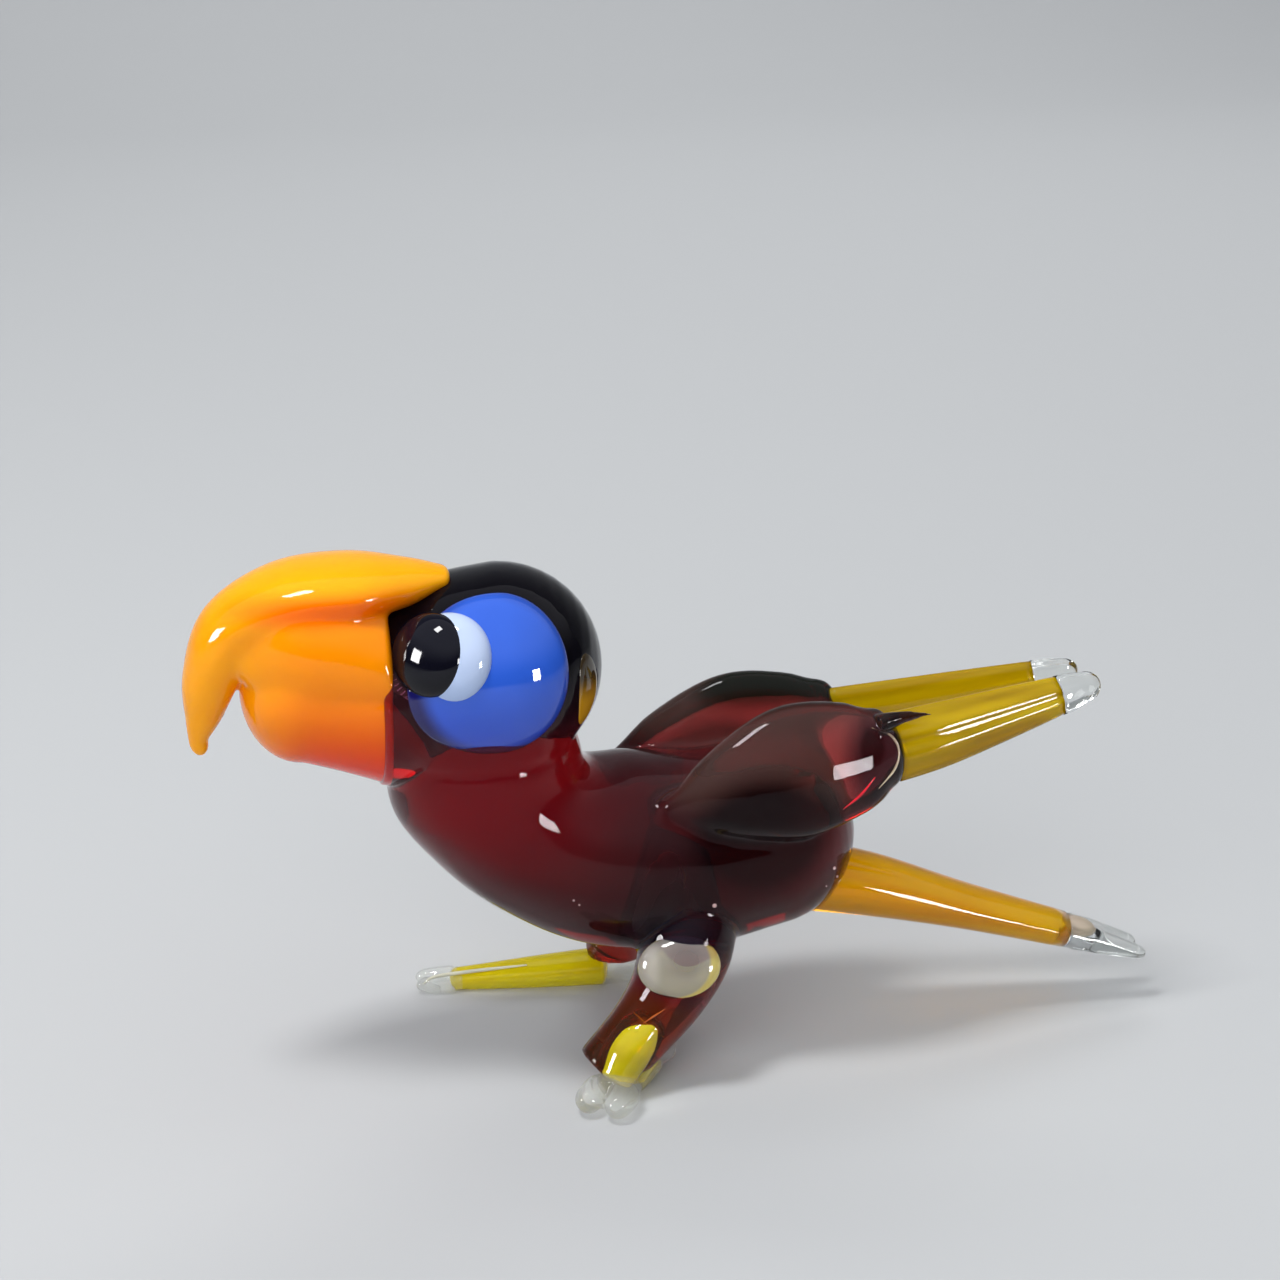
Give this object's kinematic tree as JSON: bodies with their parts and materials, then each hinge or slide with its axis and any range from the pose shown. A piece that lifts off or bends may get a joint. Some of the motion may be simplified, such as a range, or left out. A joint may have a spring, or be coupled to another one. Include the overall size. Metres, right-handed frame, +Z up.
{
  "type": "glass parrot figurine",
  "caption": "Small lampworked glass parrot, walking, with a big hooked beak, raised wings with clear-tipped feathers and a forked tail, standing on its two feet.",
  "frame": {"origin": "on the ground plane, under the middle of the bird's outer box", "axes": "-X towards the beak, +X towards the tail, -Y to the bird's left side, +Z up"},
  "size_m": [0.0518, 0.0189, 0.0284],
  "materials": {
    "ruby_glass": "deep transparent ruby, fire polished",
    "beak_yellow": "opaque yellow running to orange, fire polished",
    "beak_orange": "opaque orange, fire polished",
    "blue_glass": "opaque blue, fire polished",
    "white_glass": "opaque bluish white, fire polished",
    "black_glass": "opaque black, fire polished",
    "yellow_glass": "transparent yellow, fire polished",
    "amber_glass": "transparent amber, fire polished",
    "clear_glass": "clear, fire polished"
  },
  "bodies": {
    "root": {"body": "ruby_glass", "head": "ruby_glass", "upper_beak": "beak_yellow", "lower_beak": "beak_orange", "eye_patch_left": "blue_glass", "eye_patch_right": "blue_glass", "eye_white_left": "white_glass", "eye_white_right": "white_glass", "pupil_left": "black_glass", "pupil_right": "black_glass", "wing_left": "ruby_glass", "wing_right": "ruby_glass", "feathers_left": "yellow_glass", "feathers_right": "yellow_glass", "feather_tip_left": "clear_glass", "feather_tip_right": "clear_glass", "tail": "amber_glass", "tail_tip": "clear_glass", "leg_left": "ruby_glass", "leg_right": "ruby_glass", "knee_left": "clear_glass", "knee_right": "clear_glass", "foot_left": "yellow_glass", "foot_right": "yellow_glass", "toes_left": "clear_glass", "toes_right": "clear_glass", "spur_left": "clear_glass", "spur_right": "clear_glass"}
  },
  "joints": []
}
